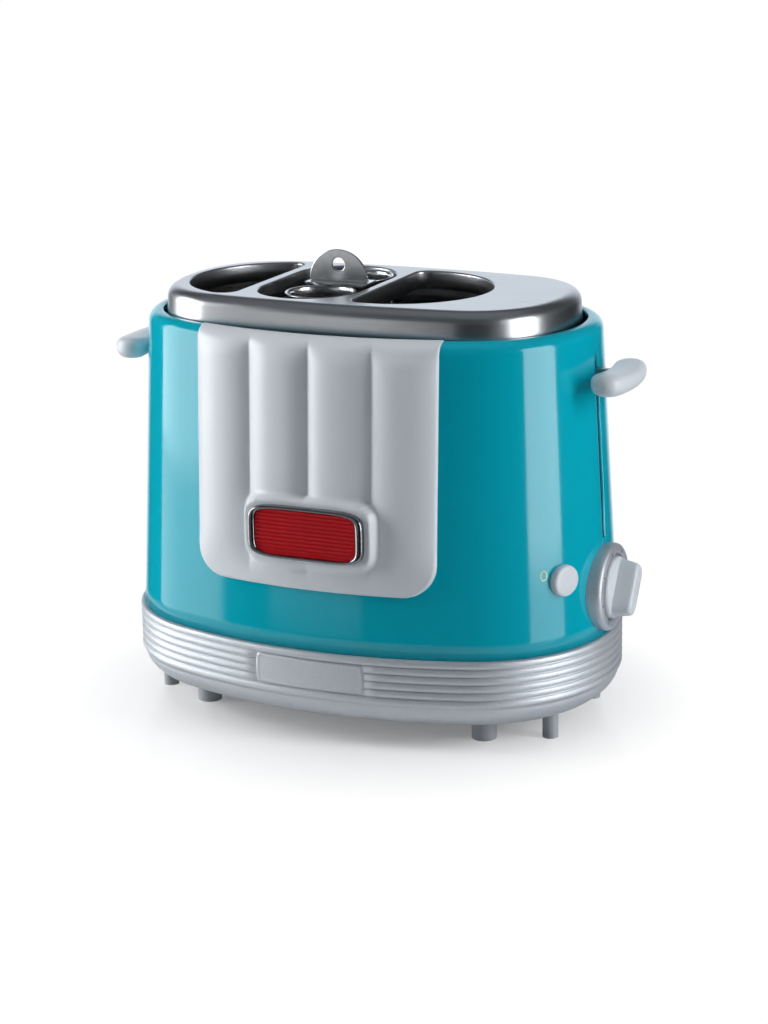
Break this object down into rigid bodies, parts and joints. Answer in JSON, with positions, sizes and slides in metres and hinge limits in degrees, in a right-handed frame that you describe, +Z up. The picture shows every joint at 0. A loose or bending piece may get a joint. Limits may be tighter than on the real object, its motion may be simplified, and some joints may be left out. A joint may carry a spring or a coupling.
{
  "type": "hot dog toaster",
  "caption": "Oval upright toaster with two bun wells, a lift-out sausage basket, a lowering carriage with a paddle at each end, a browning knob and a stop button.",
  "frame": {"origin": "centre of the oval housing, on the surface that the feet stand on", "axes": "+X towards the end with the browning knob and stop button, -Y towards the ribbed front panel, +Z up"},
  "size_m": [0.3, 0.1864, 0.2471],
  "materials": {
    "teal_plastic": "glossy moulded plastic, teal",
    "white_plastic": "semi-gloss moulded plastic, cool white",
    "bright_trim": "bright plated trim",
    "red_lens": "clear red plastic, grooved",
    "silver_paint": "moulded plastic with satin silver paint",
    "grey_foot": "grey plastic",
    "zinc_steel": "zinc plated sheet and rod",
    "brushed_cover": "fine brushed stainless sheet",
    "mica": "mica sheet, matt",
    "heater_wire": "dull heater ribbon",
    "spring_steel": "spring steel",
    "bright_steel": "bright plated steel",
    "black_plastic": "black moulded plastic",
    "board_laminate": "paper laminate board"
  },
  "bodies": {
    "housing": {"badge_bezel": "bright_trim", "badge_lens": "red_lens", "base_moulding": "silver_paint", "base_screws": "zinc_steel", "blank_nameplate": "silver_paint", "board_bracket": "zinc_steel", "browning_control": "black_plastic", "control_board": "board_laminate", "dial_ring": "white_plastic", "end_pegs": "grey_foot", "end_plate_left": "zinc_steel", "end_plate_right": "zinc_steel", "feet": "grey_foot", "frame_floor": "zinc_steel", "front_ribbed_panel": "white_plastic", "guide_rod_left": "zinc_steel", "guide_rod_right": "zinc_steel", "heater_board_1": "mica", "heater_board_2": "mica", "heater_board_3": "mica", "heater_board_4": "mica", "heater_ribbons": "heater_wire", "holding_magnet": "black_plastic", "housing_shell": "teal_plastic", "lift_spring_left": "spring_steel", "lift_spring_right": "spring_steel", "power_contacts": "black_plastic", "reflector_back": "zinc_steel", "reflector_front": "zinc_steel", "stop_switch": "black_plastic", "terminal_block": "black_plastic", "top_cover": "brushed_cover", "top_frame": "zinc_steel"},
    "carriage": {"carriage_spine": "zinc_steel", "bun_rack_left": "zinc_steel", "basket_rest": "zinc_steel", "bun_rack_right": "zinc_steel", "bracket_left": "zinc_steel", "bracket_right": "zinc_steel", "slide_bush_left": "zinc_steel", "slide_bush_right": "zinc_steel", "lever_paddle_left": "white_plastic", "lever_paddle_right": "white_plastic", "latch_keeper": "zinc_steel"},
    "basket": {"basket_cage": "bright_steel", "basket_bridge": "bright_steel", "basket_tab": "bright_steel"},
    "knob": {"browning_knob": "white_plastic", "knob_shaft": "zinc_steel"},
    "button": {"stop_button": "white_plastic"},
    "tray": {"crumb_tray": "silver_paint"}
  },
  "joints": [
    {"name": "carriage_slide", "type": "slide", "parent": "housing", "child": "carriage", "axis": [0, 0, -1], "range_m": [0, 0.07], "stiffness_N_per_m": 60, "springref_m": -0.07, "deforming": ["lift_spring_left", "lift_spring_right"]},
    {"name": "basket_lift", "type": "slide", "parent": "carriage", "child": "basket", "axis": [0, 0, 1], "range_m": [0, 0.112]},
    {"name": "knob_turn", "type": "hinge", "parent": "housing", "child": "knob", "pos_m": [0.137, 0, 0.0755], "axis": [1, 0, 0], "range_deg": [-60, 210]},
    {"name": "button_press", "type": "slide", "parent": "housing", "child": "button", "axis": [-0.8829, 0.4695, 0], "range_m": [0, 0.003], "stiffness_N_per_m": 300, "springref_m": -0.003},
    {"name": "tray_slide", "type": "slide", "parent": "housing", "child": "tray", "axis": [0, 1, 0], "range_m": [0, 0.11]}
  ]
}
